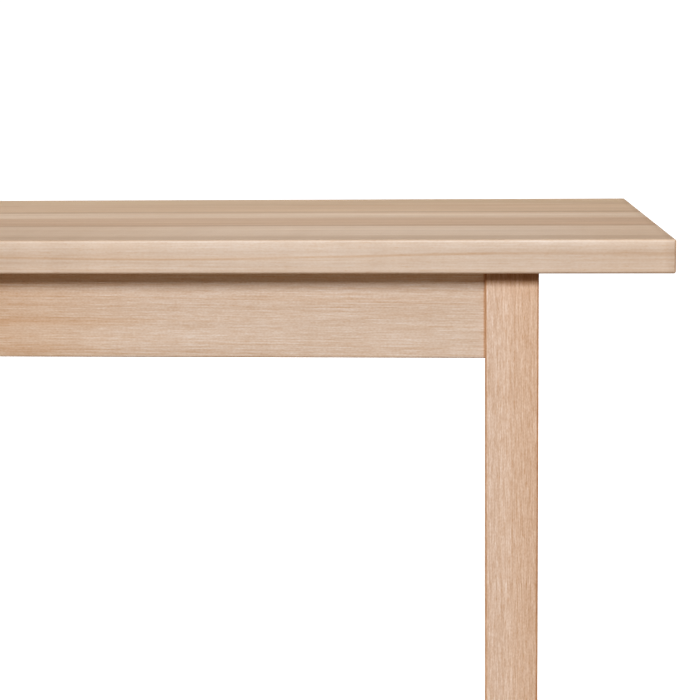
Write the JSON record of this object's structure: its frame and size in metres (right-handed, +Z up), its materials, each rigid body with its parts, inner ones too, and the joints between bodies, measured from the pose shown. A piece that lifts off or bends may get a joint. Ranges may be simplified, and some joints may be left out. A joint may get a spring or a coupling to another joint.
{
  "type": "communion table",
  "caption": "Plain wooden communion table: a thick edge-glued top with rounded arrises on a leg-and-apron frame of square legs, with screw-adjusted feet.",
  "frame": {"origin": "on the floor, under the middle of the top", "axes": "+X along the table's length to its right end, +Y from front to rear, +Z up"},
  "size_m": [1.5, 0.7, 0.76],
  "materials": {
    "top_wood": "pale close-grained hardwood, edge-glued, with a matt soaped finish",
    "frame_wood": "pale close-grained hardwood, planed and sanded, with a matt soaped finish",
    "block_wood": "plain hardwood, planed, unfinished",
    "zinc_steel": "zinc-plated, satin",
    "nylon": "moulded, finely textured"
  },
  "bodies": {
    "table": {"top_board_1": "top_wood", "top_board_2": "top_wood", "top_board_3": "top_wood", "top_board_4": "top_wood", "top_board_5": "top_wood", "leg_front_left": "frame_wood", "leg_front_right": "frame_wood", "leg_rear_left": "frame_wood", "leg_rear_right": "frame_wood", "apron_front": "frame_wood", "apron_rear": "frame_wood", "apron_left": "frame_wood", "apron_right": "frame_wood", "top_tongue_1": "block_wood", "top_tongue_2": "block_wood", "top_tongue_3": "block_wood", "top_tongue_4": "block_wood", "cross_bearer_left": "block_wood", "cross_bearer_right": "block_wood", "corner_brace_front_left": "block_wood", "corner_brace_front_right": "block_wood", "corner_brace_rear_left": "block_wood", "corner_brace_rear_right": "block_wood", "top_button_1": "block_wood", "top_button_2": "block_wood", "top_button_3": "block_wood", "top_button_4": "block_wood", "top_button_5": "block_wood", "top_button_6": "block_wood", "top_button_7": "block_wood", "top_button_8": "block_wood", "top_button_9": "block_wood", "top_button_10": "block_wood", "top_button_11": "block_wood", "top_button_12": "block_wood", "button_screws": "zinc_steel", "bearer_screws": "zinc_steel", "brace_screws": "zinc_steel", "foot_insert_front_left": "zinc_steel", "foot_insert_front_right": "zinc_steel", "foot_insert_rear_left": "zinc_steel", "foot_insert_rear_right": "zinc_steel"},
    "foot_front_left": {"foot_pad_front_left": "nylon"},
    "stem_front_left": {"foot_stem_front_left": "zinc_steel"},
    "foot_front_right": {"foot_pad_front_right": "nylon"},
    "stem_front_right": {"foot_stem_front_right": "zinc_steel"},
    "foot_rear_left": {"foot_pad_rear_left": "nylon"},
    "stem_rear_left": {"foot_stem_rear_left": "zinc_steel"},
    "foot_rear_right": {"foot_pad_rear_right": "nylon"},
    "stem_rear_right": {"foot_stem_rear_right": "zinc_steel"}
  },
  "joints": [
    {"name": "foot_front_left_slide", "type": "slide", "parent": "table", "child": "foot_front_left", "axis": [0, 0, -1], "range_m": [0, 0.012]},
    {"name": "stem_front_left_turn", "type": "hinge", "parent": "foot_front_left", "child": "stem_front_left", "pos_m": [-0.572, -0.3, 0], "axis": [0, 0, -1], "range_deg": [0, 3456.1]},
    {"name": "foot_front_right_slide", "type": "slide", "parent": "table", "child": "foot_front_right", "axis": [0, 0, -1], "range_m": [0, 0.012]},
    {"name": "stem_front_right_turn", "type": "hinge", "parent": "foot_front_right", "child": "stem_front_right", "pos_m": [0.572, -0.3, 0], "axis": [0, 0, -1], "range_deg": [0, 3456.1]},
    {"name": "foot_rear_left_slide", "type": "slide", "parent": "table", "child": "foot_rear_left", "axis": [0, 0, -1], "range_m": [0, 0.012]},
    {"name": "stem_rear_left_turn", "type": "hinge", "parent": "foot_rear_left", "child": "stem_rear_left", "pos_m": [-0.572, 0.3, 0], "axis": [0, 0, -1], "range_deg": [0, 3456.1]},
    {"name": "foot_rear_right_slide", "type": "slide", "parent": "table", "child": "foot_rear_right", "axis": [0, 0, -1], "range_m": [0, 0.012]},
    {"name": "stem_rear_right_turn", "type": "hinge", "parent": "foot_rear_right", "child": "stem_rear_right", "pos_m": [0.572, 0.3, 0], "axis": [0, 0, -1], "range_deg": [0, 3456.1]}
  ],
  "couplings": [
    {"joint": "stem_front_left_turn", "follows": "foot_front_left_slide", "rad_per_m": 5026.5},
    {"joint": "stem_front_right_turn", "follows": "foot_front_right_slide", "rad_per_m": 5026.5},
    {"joint": "stem_rear_left_turn", "follows": "foot_rear_left_slide", "rad_per_m": 5026.5},
    {"joint": "stem_rear_right_turn", "follows": "foot_rear_right_slide", "rad_per_m": 5026.5}
  ]
}
